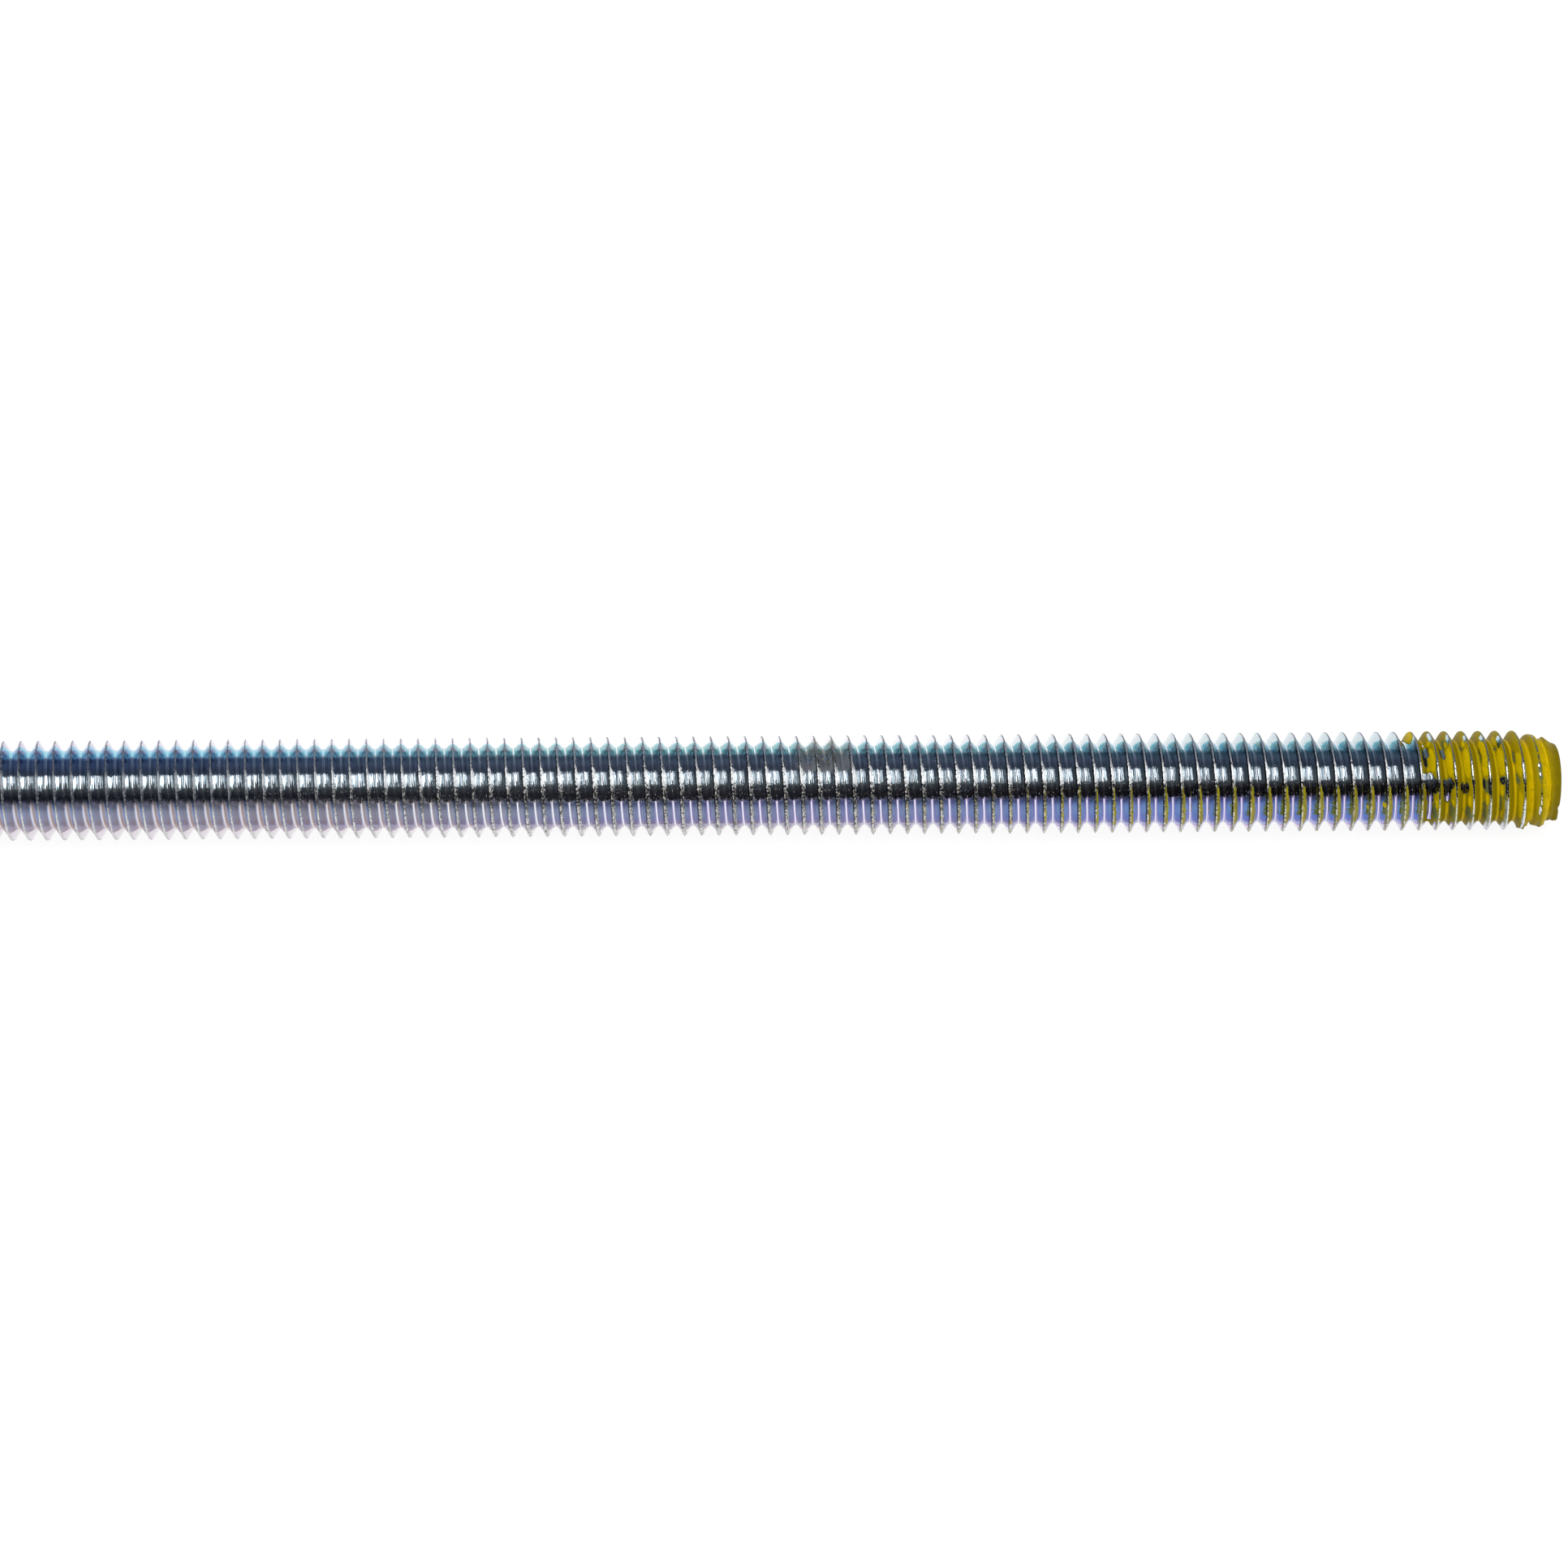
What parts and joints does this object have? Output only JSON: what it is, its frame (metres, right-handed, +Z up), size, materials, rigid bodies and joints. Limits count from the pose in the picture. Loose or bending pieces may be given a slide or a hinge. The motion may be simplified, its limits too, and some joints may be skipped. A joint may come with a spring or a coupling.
{
  "type": "threaded rod",
  "caption": "Straight steel stud with a right-hand metric thread along its whole length, tapered points and one painted end.",
  "frame": {"origin": "on the rod's axis, halfway between its two end faces", "axes": "+X along the rod towards the painted end, +Z up, -Y towards the viewer"},
  "size_m": [0.1, 0.0058, 0.0058],
  "materials": {
    "zinc_plated_steel": "bright zinc plating with a blue passivation over a rolled thread",
    "yellow_end_paint": "thin glossy mustard-yellow dip on the last threads, rubbed off the crests"
  },
  "bodies": {
    "root": {"threaded_rod": "zinc_plated_steel"}
  },
  "joints": []
}
